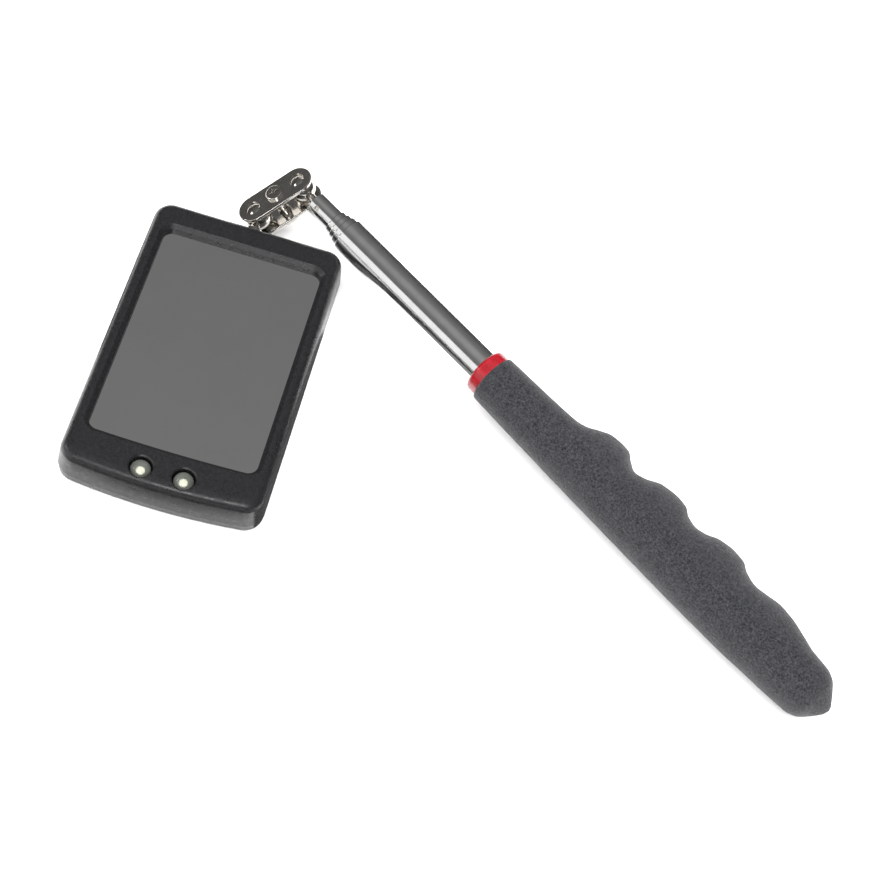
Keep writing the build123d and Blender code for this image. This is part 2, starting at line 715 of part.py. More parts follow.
def make_plate(side, name):
    """side 1 is the front plate under the screw head, -1 the rear plate at the nut."""
    inner = side * PLATE_HALF_GAP
    with BuildPart() as plate:
        with BuildSketch(link_plane.offset(inner)):
            SlotCenterToCenter(LINK_PITCH, 2 * PLATE_HALF_WIDTH)
        extrude(amount=side * PLATE_THICKNESS)
        flats = plate.faces().sort_by(link_axis)
        fillet(flats[0].edges() + flats[-1].edges(), PLATE_EDGE)
        if side < 0:
            with BuildSketch(link_plane.offset(inner)):
                Circle(BURR_RADIUS)
            extrude(amount=BURR_HEIGHT, taper=BURR_TAPER)
        with BuildSketch(link_plane.offset(inner)):
            with Locations((-LINK_PITCH / 2, 0), (LINK_PITCH / 2, 0)):
                Circle(PLATE_HOLE_RADIUS)
        extrude(amount=side * PLATE_THICKNESS, mode=Mode.SUBTRACT)
        with BuildSketch(link_plane.offset(-side * BURR_HEIGHT)):
            Circle(CLAMP_RADIUS + CLAMP_GAP)
        extrude(amount=side * (plate_outer + 2 * BURR_HEIGHT), mode=Mode.SUBTRACT)
    save(plate.part, name)


make_plate(1, "front_plate")
make_plate(-1, "rear_plate")

clamp_end = plate_outer + NUT_HEIGHT + 0.5
with BuildPart() as clamp_screw:
    with BuildSketch(link_plane.offset(plate_outer)):
        Circle(CLAMP_HEAD_RADIUS)
    extrude(amount=CLAMP_HEAD_HEIGHT)
    rim = clamp_screw.edges().filter_by(GeomType.CIRCLE)
    fillet(rim.sort_by(link_axis)[-1], CLAMP_HEAD_ROUND)
    with BuildSketch(link_plane.offset(plate_outer)):
        Circle(CLAMP_RADIUS)
    extrude(amount=-(plate_outer + clamp_end))
    # cross recess
    with BuildSketch(link_plane.offset(plate_outer + CLAMP_HEAD_HEIGHT)):
        Rectangle(CLAMP_CROSS, CLAMP_CROSS_WIDTH)
        Rectangle(CLAMP_CROSS_WIDTH, CLAMP_CROSS)
    extrude(amount=-CLAMP_CROSS_DEPTH, taper=12, mode=Mode.SUBTRACT)
save(clamp_screw.part, "clamp_screw")

with BuildPart() as clamp_nut:
    with BuildSketch(link_plane.offset(-plate_outer)):
        RegularPolygon(NUT_ACROSS_FLATS / 2, 6, major_radius=False)
        Circle(CLAMP_RADIUS + CLAMP_GAP, mode=Mode.SUBTRACT)
    extrude(amount=-NUT_HEIGHT)
save(clamp_nut.part, "clamp_nut")


# ---- rod ----
def stage_radius(stage):
    """Outer radius of a tube, from 0 for the outer tube to 4 for the tip."""
    return OUTER_RADIUS - stage * RADIUS_STEP


def stage_end(stage):
    """Distance of a moving tube's inner end when the rod is closed."""
    return FIRST_END - (stage - 1) * END_STAGGER


def make_tube(stage, name):
    """Stage 0 is the outer tube. The mouth is rolled in over the next tube's wall, and
    the far end of a moving tube is grooved for its friction sleeve."""
    outer = stage_radius(stage)
    inner = outer - TUBE_WALL
    mouth = MOUTHS[stage]
    lip = stage_radius(stage + 1) + LIP_GAP if stage < STAGES - 1 else TIP_LIP_RADIUS
    lip_length = LIP_LENGTH if stage < STAGES - 1 else TIP_SHANK_START - mouth - 0.05
    points = [
        (lip, mouth),
        (outer - 0.2, mouth),
        (outer - 0.06, mouth + 0.06),
        (outer, mouth + 0.25),
    ]
    if stage == 0:
        points += [(outer, OUTER_END), (inner, OUTER_END)]
    else:
        end = stage_end(stage)
        groove_far = end - END_COLLAR
        groove_near = groove_far - GROOVE_LENGTH
        points += [
            (outer, groove_near),
            (outer - GROOVE_DEPTH, groove_near + 0.05),
            (outer - GROOVE_DEPTH, groove_far - 0.05),
            (outer, groove_far),
            (outer, end),
            (inner, end),
            (inner, groove_far + 0.2),
            (inner - GROOVE_DEPTH, groove_far + 0.1),
            (inner - GROOVE_DEPTH, groove_near - 0.1),
            (inner, groove_near - 0.2),
        ]
    points += [(inner, mouth + lip_length), (lip, mouth + lip_length)]
    with BuildPart() as tube:
        with BuildSketch(rod_section):
            with BuildLine():
                Polyline(*points, close=True)
            make_face()
        revolve(axis=rod_axis)
        if stage == STAGES - 1:
            with BuildSketch(pin_plane):
                Circle(PIN_RADIUS)
            extrude(amount=outer + 1, mode=Mode.SUBTRACT)
    save(tube.part, name)


def make_sleeve(stage, name):
    """A split bronze sleeve in the groove of a moving tube, running in the tube outside."""
    outer = stage_radius(stage)
    near = stage_end(stage) - END_COLLAR - GROOVE_LENGTH + (GROOVE_LENGTH - SLEEVE_LENGTH) / 2
    bore = stage_radius(stage - 1) - TUBE_WALL
    with BuildPart() as sleeve:
        with BuildSketch(rod_plane.offset(near)):
            Circle(bore - SLEEVE_GAP)
            Circle(outer - GROOVE_DEPTH + SLEEVE_GAP, mode=Mode.SUBTRACT)
            with Locations((outer, 0)):
                Rectangle(2.0, SLEEVE_SLIT, mode=Mode.SUBTRACT)
        extrude(amount=SLEEVE_LENGTH)
    save(sleeve.part, name)


pin_direction = rod_plane.x_dir * math.cos(math.radians(PIN_ANGLE))
pin_direction += rod_plane.y_dir * math.sin(math.radians(PIN_ANGLE))
pin_plane = Plane(
    origin=rod_ball + rod_plane.z_dir * PIN_DISTANCE,
    x_dir=rod_plane.z_dir,
    z_dir=pin_direction,
)

make_tube(0, "outer_tube")
for stage in range(1, STAGES):
    make_tube(stage, f"tube_{stage + 1}")
    make_sleeve(stage, f"friction_sleeve_{stage + 1}")

tip_radius = stage_radius(STAGES - 1)
shank_radius = tip_radius - TUBE_WALL - SLEEVE_GAP
with BuildPart() as rod_ball_stud:
    with BuildSketch(rod_section):
        with BuildLine():
            neck_start = math.sqrt(BALL_RADIUS**2 - NECK_RADIUS**2)
            ThreePointArc((0, -BALL_RADIUS), (BALL_RADIUS, 0), (NECK_RADIUS, neck_start))
            Polyline(
                (NECK_RADIUS, neck_start),
                (NECK_RADIUS, MOUTHS[-1] - 0.3),
                (TIP_LIP_RADIUS - 0.05, MOUTHS[-1] + 0.05),
                (TIP_LIP_RADIUS - 0.05, TIP_SHANK_START),
                (shank_radius, TIP_SHANK_START),
                (shank_radius, TIP_SHANK_END),
                (0, TIP_SHANK_END),
                (0, -BALL_RADIUS),
            )
        make_face()
    revolve(axis=rod_axis)
    with BuildSketch(pin_plane):
        Circle(PIN_RADIUS)
    extrude(amount=tip_radius + 1, mode=Mode.SUBTRACT)
save(rod_ball_stud.part, "rod_ball_stud")

with BuildPart() as stud_pin:
    with BuildSketch(pin_plane.offset(0.05)):
        Circle(PIN_RADIUS - 0.02)
    extrude(amount=tip_radius - 0.05)
    with BuildSketch(pin_plane.offset(tip_radius)):
        Circle(PIN_RADIUS - 0.2)
    extrude(amount=-0.3, taper=35, mode=Mode.SUBTRACT)
save(stud_pin.part, "stud_pin")

# ---- handle: end plug, collar and grip ----
with BuildPart() as tube_plug:
    with BuildSketch(rod_plane.offset(OUTER_END - PLUG_LENGTH)):
        Circle(OUTER_RADIUS - TUBE_WALL - SLEEVE_GAP)
    extrude(amount=PLUG_LENGTH)
    with BuildSketch(rod_plane.offset(OUTER_END)):
        Circle(OUTER_RADIUS)
    extrude(amount=PLUG_FLANGE)
save(tube_plug.part, "tube_plug")

bore_radius = OUTER_RADIUS + FIT_GAP
with BuildPart() as collar:
    with BuildSketch(rod_plane.offset(COLLAR_START)):
        Circle(COLLAR_RADIUS)
    extrude(amount=GRIP_START - COLLAR_START)
    front = collar.faces().sort_by(rod_axis)[0]
    fillet(front.edges(), COLLAR_ROUND)
    with BuildSketch(rod_plane.offset(GRIP_START)):
        Circle(SPIGOT_RADIUS)
    extrude(amount=SPIGOT_LENGTH)
    with BuildSketch(rod_plane.offset(COLLAR_START)):
        Circle(bore_radius)
    extrude(amount=GRIP_START - COLLAR_START + SPIGOT_LENGTH, mode=Mode.SUBTRACT)
save(collar.part, "collar")

# Grip stations: distance from its front, reach on the finger side, reach on the palm side
# and half height. Four finger lobes with grooves between, then a waist and a blunt point.
GRIP_STATIONS = [
    (0.0, 6.2, 6.75, 6.55),
    (14.0, 6.45, 7.25, 6.85),
    (22.0, 6.8, 7.4, 7.1),
    (25.0, 7.7, 7.5, 7.2),
    (28.0, 10.0, 7.6, 7.3),
    (30.5, 11.6, 7.6, 7.3),
    (33.5, 12.0, 7.7, 7.3),
    (36.0, 11.8, 7.8, 7.4),
    (38.5, 9.9, 7.8, 7.4),
    (41.5, 8.2, 7.9, 7.4),
    (44.0, 9.0, 7.9, 7.4),
    (48.0, 11.6, 8.0, 7.5),
    (52.5, 12.3, 8.1, 7.5),
    (55.5, 11.9, 8.2, 7.5),
    (58.0, 10.1, 8.2, 7.5),
    (61.0, 9.3, 8.3, 7.5),
    (63.5, 9.9, 8.3, 7.5),
    (67.0, 11.9, 8.4, 7.5),
    (71.0, 12.6, 8.4, 7.5),
    (74.5, 12.2, 8.4, 7.5),
    (77.0, 10.5, 8.4, 7.5),
    (81.0, 9.3, 8.4, 7.5),
    (84.0, 9.8, 8.4, 7.5),
    (88.0, 10.6, 8.3, 7.4),
    (92.0, 10.2, 8.1, 7.3),
    (97.0, 8.7, 7.9, 7.3),
    (101.0, 7.4, 7.7, 7.2),
    (106.0, 6.7, 7.3, 7.0),
    (108.5, 5.7, 6.4, 6.1),
    (110.5, 3.7, 4.4, 4.1),
    (112.0, 1.8, 2.5, 2.2),
    (113.0, 0.8, 1.2, 1.0),
]
with BuildPart() as grip:
    for distance, finger, palm, half_height in GRIP_STATIONS:
        with BuildSketch(rod_plane.offset(GRIP_START + distance)):
            with Locations(((finger - palm) / 2, 0)):
                Ellipse((finger + palm) / 2, half_height)
    loft(ruled=True)
    with BuildSketch(rod_plane.offset(GRIP_START)):
        Circle(bore_radius)
    extrude(amount=OUTER_END + PLUG_FLANGE + 0.1 - GRIP_START, mode=Mode.SUBTRACT)
    with BuildSketch(rod_plane.offset(GRIP_START)):
        Circle(SPIGOT_RADIUS + FIT_GAP)
    extrude(amount=SPIGOT_LENGTH + 0.1, mode=Mode.SUBTRACT)
save(grip.part, "grip")
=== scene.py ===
import json
import math

import bmesh
import bpy
from mathutils import Matrix, Vector


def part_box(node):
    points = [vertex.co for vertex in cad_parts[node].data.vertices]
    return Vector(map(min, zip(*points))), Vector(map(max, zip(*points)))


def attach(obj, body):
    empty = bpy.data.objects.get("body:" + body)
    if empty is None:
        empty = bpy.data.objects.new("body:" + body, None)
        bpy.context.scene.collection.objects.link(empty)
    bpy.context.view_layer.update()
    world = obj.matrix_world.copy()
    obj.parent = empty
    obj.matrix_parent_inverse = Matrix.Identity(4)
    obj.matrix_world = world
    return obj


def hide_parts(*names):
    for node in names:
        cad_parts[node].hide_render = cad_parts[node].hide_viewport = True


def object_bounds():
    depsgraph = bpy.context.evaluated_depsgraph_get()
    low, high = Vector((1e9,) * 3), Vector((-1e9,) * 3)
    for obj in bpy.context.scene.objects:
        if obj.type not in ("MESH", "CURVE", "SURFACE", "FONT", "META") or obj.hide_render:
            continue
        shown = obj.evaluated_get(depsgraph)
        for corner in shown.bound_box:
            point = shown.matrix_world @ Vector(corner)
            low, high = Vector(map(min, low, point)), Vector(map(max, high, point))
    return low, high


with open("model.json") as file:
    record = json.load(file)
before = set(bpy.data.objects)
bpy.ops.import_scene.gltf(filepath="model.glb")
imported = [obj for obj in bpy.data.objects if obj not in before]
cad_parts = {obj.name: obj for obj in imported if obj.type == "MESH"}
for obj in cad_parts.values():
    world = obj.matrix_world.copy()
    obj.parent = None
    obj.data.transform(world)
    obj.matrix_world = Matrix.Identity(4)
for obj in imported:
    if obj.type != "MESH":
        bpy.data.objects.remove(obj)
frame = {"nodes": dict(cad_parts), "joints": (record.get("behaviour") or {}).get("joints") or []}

CAD_LOW, CAD_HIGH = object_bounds()
SCENE = bpy.context.scene
MM = 0.001

# ---- camera ----
CAMERA_PLACE = Vector((-0.1750, 0.1902, 0.3781))
CAMERA_AIM = Vector((-0.0518, -0.0336, 0.0))
CAMERA_UP = Vector((0.677, -0.515, 0.5255))
LENS_MM = 75.07
SENSOR_MM = 36.0

# ---- foam grip: distance from its front, reach on the finger side, reach on the palm side
# and half height, in millimetres. The reaches are the rounded output of a scratch program
# that traced the photo, as in part.py: this is the open fault in report.md ----
GRIP_STATIONS = [
    (0.0, 6.2, 6.75, 6.55),
    (14.0, 6.45, 7.25, 6.85),
    (22.0, 6.8, 7.4, 7.1),
    (25.0, 7.7, 7.5, 7.2),
    (28.0, 10.0, 7.6, 7.3),
    (30.5, 11.6, 7.6, 7.3),
    (33.5, 12.0, 7.7, 7.3),
    (36.0, 11.8, 7.8, 7.4),
    (38.5, 9.9, 7.8, 7.4),
    (41.5, 8.2, 7.9, 7.4),
    (44.0, 9.0, 7.9, 7.4),
    (48.0, 11.6, 8.0, 7.5),
    (52.5, 12.3, 8.1, 7.5),
    (55.5, 11.9, 8.2, 7.5),
    (58.0, 10.1, 8.2, 7.5),
    (61.0, 9.3, 8.3, 7.5),
    (63.5, 9.9, 8.3, 7.5),
    (67.0, 11.9, 8.4, 7.5),
    (71.0, 12.6, 8.4, 7.5),
    (74.5, 12.2, 8.4, 7.5),
    (77.0, 10.5, 8.4, 7.5),
    (81.0, 9.3, 8.4, 7.5),
    (84.0, 9.8, 8.4, 7.5),
    (88.0, 10.6, 8.3, 7.4),
    (92.0, 10.2, 8.1, 7.3),
    (97.0, 8.7, 7.9, 7.3),
    (101.0, 7.4, 7.7, 7.2),
    (106.0, 6.7, 7.3, 7.0),
    (108.5, 5.7, 6.4, 6.1),
    (110.5, 3.7, 4.4, 4.1),
    (112.0, 1.8, 2.5, 2.2),
    (112.7, 0.9, 1.3, 1.1),
    (113.0, 0.1, 0.1, 0.1),
]
GRIP_STEPS = 340
GRIP_TURNS = 96
GRIP_LIP = 0.45
GRIP_LIP_STEPS = 6
SPIGOT_BORE = 5.55
SPIGOT_DEPTH = 11.1
TUBE_BORE = 4.85
TUBE_DEPTH = 107.4


# ---- frame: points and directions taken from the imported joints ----
def joint(name):
    return next(j for j in frame["joints"] if j["name"] == name)


def unit(values):
    return Vector(values).normalized()


ROD_BALL = Vector(joint("rod_swing")["pos_m"])
BUTT = -unit(joint("slide_2")["axis"])
HEAD_X = unit(joint("switch_slide")["axis"])
UP = Vector((0, 0, 1))
HEAD_Y = UP.cross(HEAD_X)
FINGER = unit((0, -1, 0))
ROD_UP = BUTT.cross(FINGER).normalized()
if ROD_UP.z < 0:
    ROD_UP = -ROD_UP


# ---- materials ----
class Finish:
    """A node material being put together; lengths are in metres, in object coordinates."""

    def __init__(self, name):
        self.material = bpy.data.materials.new(name)
        self.material.use_nodes = True
        self.tree = self.material.node_tree
        self.shader = self.tree.nodes["Principled BSDF"]
        self.place = self.tree.nodes.new("ShaderNodeTexCoord").outputs["Object"]

    def set(self, **values):
        """Sets shader sockets, such as roughness=0.4, coat_weight=1."""
        for name, value in values.items():
            socket = self.shader.inputs[name.replace("_", " ").title().replace("Ior", "IOR")]
            socket.default_value = (*value, 1.0) if isinstance(value, tuple) else value
        return self

    def link(self, start, end):
        self.tree.links.new(start, end)

    def noise(self, cell, detail=2.0, stretch=(1, 1, 1), rough=0.5):
        """Noise whose cells are about that many metres, stretched by those factors."""
        mapping = self.tree.nodes.new("ShaderNodeMapping")
        mapping.inputs["Scale"].default_value = [1 / s for s in stretch]
        self.link(self.place, mapping.inputs["Vector"])
        texture = self.tree.nodes.new("ShaderNodeTexNoise")
        texture.inputs["Scale"].default_value = 1 / cell
        texture.inputs["Detail"].default_value = detail
        texture.inputs["Roughness"].default_value = rough
        self.link(mapping.outputs["Vector"], texture.inputs["Vector"])
        return texture.outputs["Fac"]

    def cells(self, cell):
        """Distance to the nearest of many scattered points, as in a closed-cell foam."""
        texture = self.tree.nodes.new("ShaderNodeTexVoronoi")
        texture.inputs["Scale"].default_value = 1 / cell
        self.link(self.place, texture.inputs["Vector"])
        return texture.outputs["Distance"]

    def ramp(self, value, low, high, start, end):
        """Maps value from low..high to start..end, held at the ends."""
        node = self.tree.nodes.new("ShaderNodeMapRange")
        node.inputs["From Min"].default_value = low
        node.inputs["From Max"].default_value = high
        node.inputs["To Min"].default_value = start
        node.inputs["To Max"].default_value = end
        self.link(value, node.inputs["Value"])
        return node.outputs["Result"]

    def colours(self, value, dark, light, low=0.35, high=0.65):
        """Base colour between two colours as value goes from low to high."""
        node = self.tree.nodes.new("ShaderNodeValToRGB")
        first, last = node.color_ramp.elements
        first.position, last.position = low, high
        first.color, last.color = (*dark, 1), (*light, 1)
        self.link(value, node.inputs["Fac"])
        self.link(node.outputs["Color"], self.shader.inputs["Base Color"])
        return self

    def roughness(self, value, start, end, low=0.35, high=0.65):
        self.link(self.ramp(value, low, high, start, end), self.shader.inputs["Roughness"])
        return self

    def bump(self, value, height, strength=1.0):
        """Adds a bump of that height in metres on top of any made before."""
        node = self.tree.nodes.new("ShaderNodeBump")
        node.inputs["Strength"].default_value = strength
        node.inputs["Distance"].default_value = height
        self.link(value, node.inputs["Height"])
        socket = self.shader.inputs["Normal"]
        if socket.is_linked:
            self.link(socket.links[0].from_socket, node.inputs["Normal"])
        self.link(node.outputs["Normal"], socket)
        return self


def moulded(name, dark, light, grain=0.00035, height=0.000014, rough=(0.26, 0.4)):
    """Spark-textured moulded plastic with a faint unevenness in its gloss."""
    finish = Finish(name).set(ior=1.58)
    finish.colours(finish.noise(grain * 1.6, detail=5, rough=0.7), dark, light, 0.3, 0.7)
    finish.roughness(finish.noise(0.0012, detail=5), *rough)
    finish.bump(finish.noise(grain, detail=3, rough=0.6), height)
    return finish.material


def metal(name, dark, light, rough, stretch=(1, 1, 1), grain=0.0002, height=0.0000004):
    """Bare or plated metal, with fine lines along the direction that it is stretched in."""
    finish = Finish(name).set(metallic=1.0)
    finish.colours(finish.noise(0.003, detail=4), dark, light)
    lines = finish.noise(grain, detail=4, stretch=stretch, rough=0.6)
    finish.roughness(lines, *rough, low=0.3, high=0.7)
    finish.bump(lines, height)
    return finish.material


def mirror_silver():
    """Silvered glass with a faint film that only dulls its gloss here and there."""
    finish = Finish("mirror_silver").set(metallic=1.0)
    film = finish.noise(0.012, detail=6, rough=0.6)
    finish.colours(film, (0.84, 0.86, 0.84), (0.87, 0.88, 0.87))
    finish.roughness(film, 0.012, 0.03)
    return finish.material


def clear_epoxy():
    """Water-clear lamp body with a slight cloudiness."""
    finish = Finish("clear_epoxy")
    finish.set(transmission_weight=0.82, ior=1.5)
    finish.colours(finish.noise(0.002, detail=2), (0.34, 0.36, 0.32), (0.42, 0.44, 0.4))
    finish.roughness(finish.noise(0.0006), 0.04, 0.1)
    return finish.material


def grip_foam():
    """Fine-skinned charcoal foam rubber, with pin-prick cells and pale specks."""
    finish = Finish("grip_foam").set(ior=1.45, sheen_weight=0.12, sheen_roughness=0.5)
    specks = finish.noise(0.0005, detail=5, rough=0.9)
    finish.colours(specks, (0.0, 0.0002, 0.0006), (0.052, 0.053, 0.06), 0.4, 0.68)
    finish.roughness(finish.noise(0.003), 0.72, 0.86)
    finish.bump(finish.cells(0.0008), 0.00012, 0.6)
    finish.bump(finish.noise(0.0006, detail=4, rough=0.8), 0.00022)
    finish.bump(finish.noise(0.0035, detail=3), 0.0002, 0.5)
    return finish.material


def red_gloss():
    """Glossy red moulding with faint turning lines round the rod."""
    finish = Finish("red_gloss").set(ior=1.5, coat_weight=0.4, coat_roughness=0.12)
    finish.colours(finish.noise(0.002, detail=3), (0.18, 0.002, 0.006), (0.24, 0.003, 0.009))
    finish.roughness(finish.noise(0.0008, detail=4), 0.2, 0.3)
    finish.bump(finish.noise(0.0004, detail=3, stretch=(1, 4, 4)), 0.000008)
    return finish.material


def circuit_board():
    """Solder mask over faint copper tracks."""
    finish = Finish("circuit_board").set(ior=1.5, coat_weight=0.5, coat_roughness=0.2)
    tracks = finish.noise(0.0016, detail=0, stretch=(5, 1, 1))
    finish.colours(tracks, (0.006, 0.05, 0.018), (0.014, 0.12, 0.04), 0.48, 0.52)
    finish.roughness(finish.noise(0.001), 0.35, 0.5)
    finish.bump(tracks, 0.00003)
    return finish.material


def foam_tape():
    """White double-sided foam tape."""
    finish = Finish("foam_tape").set(ior=1.4)
    finish.colours(finish.noise(0.001, detail=3), (0.6, 0.6, 0.57), (0.74, 0.74, 0.72))
    finish.roughness(finish.noise(0.002), 0.85, 0.95)
    finish.bump(finish.cells(0.0004), 0.00005)
    return finish.material


def phosphor():
    """The lamp's yellowish phosphor fill, with a painted glow: it emits light although the lamp
    is off.
    """
    # painted glow: the emission strength makes the unlit phosphor shine
    finish = Finish("phosphor").set(emission_color=(1.0, 0.98, 0.86), emission_strength=0.7)
    finish.colours(finish.noise(0.0002), (0.86, 0.84, 0.62), (0.95, 0.94, 0.8))
    finish.roughness(finish.noise(0.0003), 0.5, 0.7)
    return finish.material


ALONG_ROD = (40, 1, 1)
STEEL_DARK, STEEL_LIGHT = (0.78, 0.78, 0.77), (0.84, 0.84, 0.83)

MATERIALS = {
    "black_plastic": moulded("black_plastic", (0.004, 0.004, 0.0045), (0.011, 0.011, 0.012)),
    "switch_case": moulded("switch_case", (0.012, 0.012, 0.012), (0.02, 0.02, 0.02)),
    "knob": moulded("knob", (0.02, 0.02, 0.022), (0.03, 0.03, 0.032), grain=0.00012),
    "plug_plastic": moulded("plug_plastic", (0.02, 0.02, 0.02), (0.035, 0.035, 0.035)),
    "mirror": mirror_silver(),
    "foam_pad": foam_tape(),
    "clear_lens": clear_epoxy(),
    "board": circuit_board(),
    "red_plastic": red_gloss(),
    "grip_foam": grip_foam(),
    "nickel_plate": metal("nickel_plate", (0.6, 0.575, 0.54), (0.68, 0.655, 0.62), (0.1, 0.2)),
    "tube_steel": metal(
        "tube_steel", STEEL_DARK, STEEL_LIGHT, (0.09, 0.17), ALONG_ROD, height=0.0000002
    ),
    "screw_steel": metal("screw_steel", (0.45, 0.45, 0.44), (0.6, 0.6, 0.58), (0.22, 0.4)),
    "cell_steel": metal("cell_steel", (0.55, 0.55, 0.53), (0.68, 0.68, 0.66), (0.2, 0.35)),
    "contact_metal": metal("contact_metal", (0.6, 0.57, 0.48), (0.7, 0.66, 0.56), (0.2, 0.3)),
    "bronze": metal("bronze", (0.5, 0.3, 0.13), (0.62, 0.4, 0.2), (0.25, 0.4)),
    "phosphor": phosphor(),
}


def finish_cad_nodes():
    """Gives each CAD node the full material of the slot that it was packed with."""
    for node in frame["nodes"].values():
        for place in node.material_slots:
            place.material = MATERIALS[place.material.name.split(".")[0]]


# ---- foam grip ----
def smooth_step(values, position):
    """Monotone cubic through (position, value) pairs, with no overshoot at the humps."""
    places = [v[0] for v in values]
    heights = [v[1] for v in values]
    slopes = [(b - a) / (q - p) for p, q, a, b in zip(places, places[1:], heights, heights[1:])]
    index = max(i for i in range(len(slopes)) if places[i] <= position or i == 0)
    width = places[index + 1] - places[index]

    def tangent(i):
        if i == 0 or i == len(slopes):
            return slopes[min(i, len(slopes) - 1)]
        before, after = slopes[i - 1], slopes[i]
        return 0.0 if before * after <= 0 else 2 * before * after / (before + after)

    t = (position - places[index]) / width
    rise = heights[index + 1] - heights[index]
    start, end = tangent(index) * width, tangent(index + 1) * width
    curve = (3 * t**2 - 2 * t**3) * rise + heights[index]
    return curve + (t**3 - 2 * t**2 + t) * start + (t**3 - t**2) * end


def grip_ring(bm, start, distance, finger, palm, half_height):
    """One ring of the grip: round, flatter towards the palm than towards the fingers."""
    ring = []
    for step in range(GRIP_TURNS):
        turn = 2 * math.pi * step / GRIP_TURNS
        across = math.cos(turn) * (finger if math.cos(turn) > 0 else palm)
        place = ROD_BALL + BUTT * (start + distance * MM) + FINGER * across * MM
        ring.append(bm.verts.new(place + ROD_UP * math.sin(turn) * half_height * MM))
    return ring


def make_grip():
    """The foam grip: lobed outside, bored for the collar's spigot and the outer tube."""
    reach = [(v.co - ROD_BALL).dot(BUTT) for v in frame["nodes"]["grip"].data.vertices]
    start = min(reach)
    finger, palm, height = ([(s[0], s[i]) for s in GRIP_STATIONS] for i in (1, 2, 3))
    end = GRIP_STATIONS[-1][0]
    bm = bmesh.new()
    bore = [(TUBE_DEPTH, TUBE_BORE), (SPIGOT_DEPTH, TUBE_BORE), (SPIGOT_DEPTH, SPIGOT_BORE)]
    rings = [grip_ring(bm, start, d, r, r, r) for d, r in bore + [(0.0, SPIGOT_BORE)]]
    for step in range(GRIP_LIP_STEPS + 1):
        angle = math.pi / 2 * step / GRIP_LIP_STEPS
        inset = GRIP_LIP * (1 - math.sin(angle))
        sizes = [smooth_step(c, 0) - inset for c in (finger, palm, height)]
        rings.append(grip_ring(bm, start, GRIP_LIP * (1 - math.cos(angle)), *sizes))
    for step in range(1, GRIP_STEPS + 1):
        distance = GRIP_LIP + (end - GRIP_LIP) * step / GRIP_STEPS
        sizes = [smooth_step(c, distance) for c in (finger, palm, height)]
        rings.append(grip_ring(bm, start, distance, *sizes))
    for low, high in zip(rings, rings[1:]):
        for a, b, c, d in zip(low, low[1:] + low[:1], high[1:] + high[:1], high):
            bm.faces.new((a, b, c, d))
    bm.faces.new(rings[0])
    bm.faces.new(reversed(rings[-1]))
    bmesh.ops.recalc_face_normals(bm, faces=bm.faces)
    grip = add_mesh("foam_grip", bm, MATERIALS["grip_foam"])
    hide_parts("grip")
    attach(grip, "handle")


def add_mesh(name, bm, material, smooth=True):
    mesh = bpy.data.meshes.new(name)
    bm.to_mesh(mesh)
    bm.free()
    mesh.materials.append(material)
    for face in mesh.polygons:
        face.use_smooth = smooth
    piece = bpy.data.objects.new(name, mesh)
    SCENE.collection.objects.link(piece)
    return piece


# ---- lamp insides: the cup and posts of the lead frame, and the phosphor in the cup ----
LAMP_TURNS = 40
CUP_FOOT = [(0.0, 2.6), (0.25, 2.6), (0.25, 5.2), (0.5, 5.45)]
CUP_PROFILE = CUP_FOOT + [(0.78, 6.05), (0.66, 6.05), (0.42, 5.7), (0.0, 5.7)]
PHOSPHOR_PROFILE = [(0.0, 5.72), (0.4, 5.72), (0.6, 6.0), (0.46, 6.14), (0.24, 6.22), (0.0, 6.25)]


def turned(name, profile, centre, material):
    """A turned piece about +Z from (radius, height) points in millimetres."""
    bm = bmesh.new()
    rings = []
    for radius, height in profile:
        middle = centre + UP * height * MM
        if radius == 0:
            rings.append([bm.verts.new(middle)])
            continue
        angles = [2 * math.pi * i / LAMP_TURNS for i in range(LAMP_TURNS)]
        points = [Vector((math.cos(a), math.sin(a), 0)) * radius * MM for a in angles]
        rings.append([bm.verts.new(middle + p) for p in points])
    for low, high in zip(rings, rings[1:]):
        for i in range(LAMP_TURNS):
            corners = [low[i % len(low)], low[(i + 1) % len(low)]]
            corners += [high[(i + 1) % len(high)], high[i % len(high)]]
            bm.faces.new(dict.fromkeys(corners))
    bmesh.ops.recalc_face_normals(bm, faces=bm.faces)
    return add_mesh(name, bm, material)


def make_lamp_insides(node, side):
    low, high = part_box(node)
    centre = Vector(((low[0] + high[0]) / 2, (low[1] + high[1]) / 2, low[2]))
    cup = turned(f"lamp_cup_{side}", CUP_PROFILE, centre, MATERIALS["contact_metal"])
    # the phosphor fill carries a painted glow
    fill = turned(f"lamp_phosphor_{side}", PHOSPHOR_PROFILE, centre, MATERIALS["phosphor"])
    for piece in (cup, fill):
        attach(piece, "head")


# ---- studio: floor, sky, lamps and camera ----
FLOOR_SIZE = 6.0
FLOOR_DROP = 0.0002
ROD_FLAG_NEAR = 18
ROD_FLAG_FAR = 70
HEAD_FLAG_NEAR = 4.5
HEAD_FLAG_FAR = 120
HEAD_FLAG_HALF = 60
ROD_FLAG_PAST_TIP = 30
ROD_FLAG_ALONG = 80
ROD_FLAG_GREY = 0.1
HEAD_FLAG_GREY = 0.05
# darkest straight down to lightest overhead, as (height of the direction, grey)
SKY_STOPS = [(0.0, 0.05), (0.45, 0.11), (0.75, 0.16), (0.86, 0.19), (0.94, 0.29), (1.0, 0.38)]


def make_floor():
    bm = bmesh.new()
    bmesh.ops.create_grid(bm, x_segments=8, y_segments=8, size=FLOOR_SIZE / 2)
    paper = Finish("floor_paper").set(ior=1.3)
    paper.colours(paper.noise(0.3, detail=3), (0.88, 0.88, 0.88), (0.9, 0.9, 0.9))
    paper.roughness(paper.noise(0.1), 0.9, 1.0)
    floor = add_mesh("floor", bm, paper.material)
    floor.location = (0, 0, CAD_LOW.z - FLOOR_DROP)


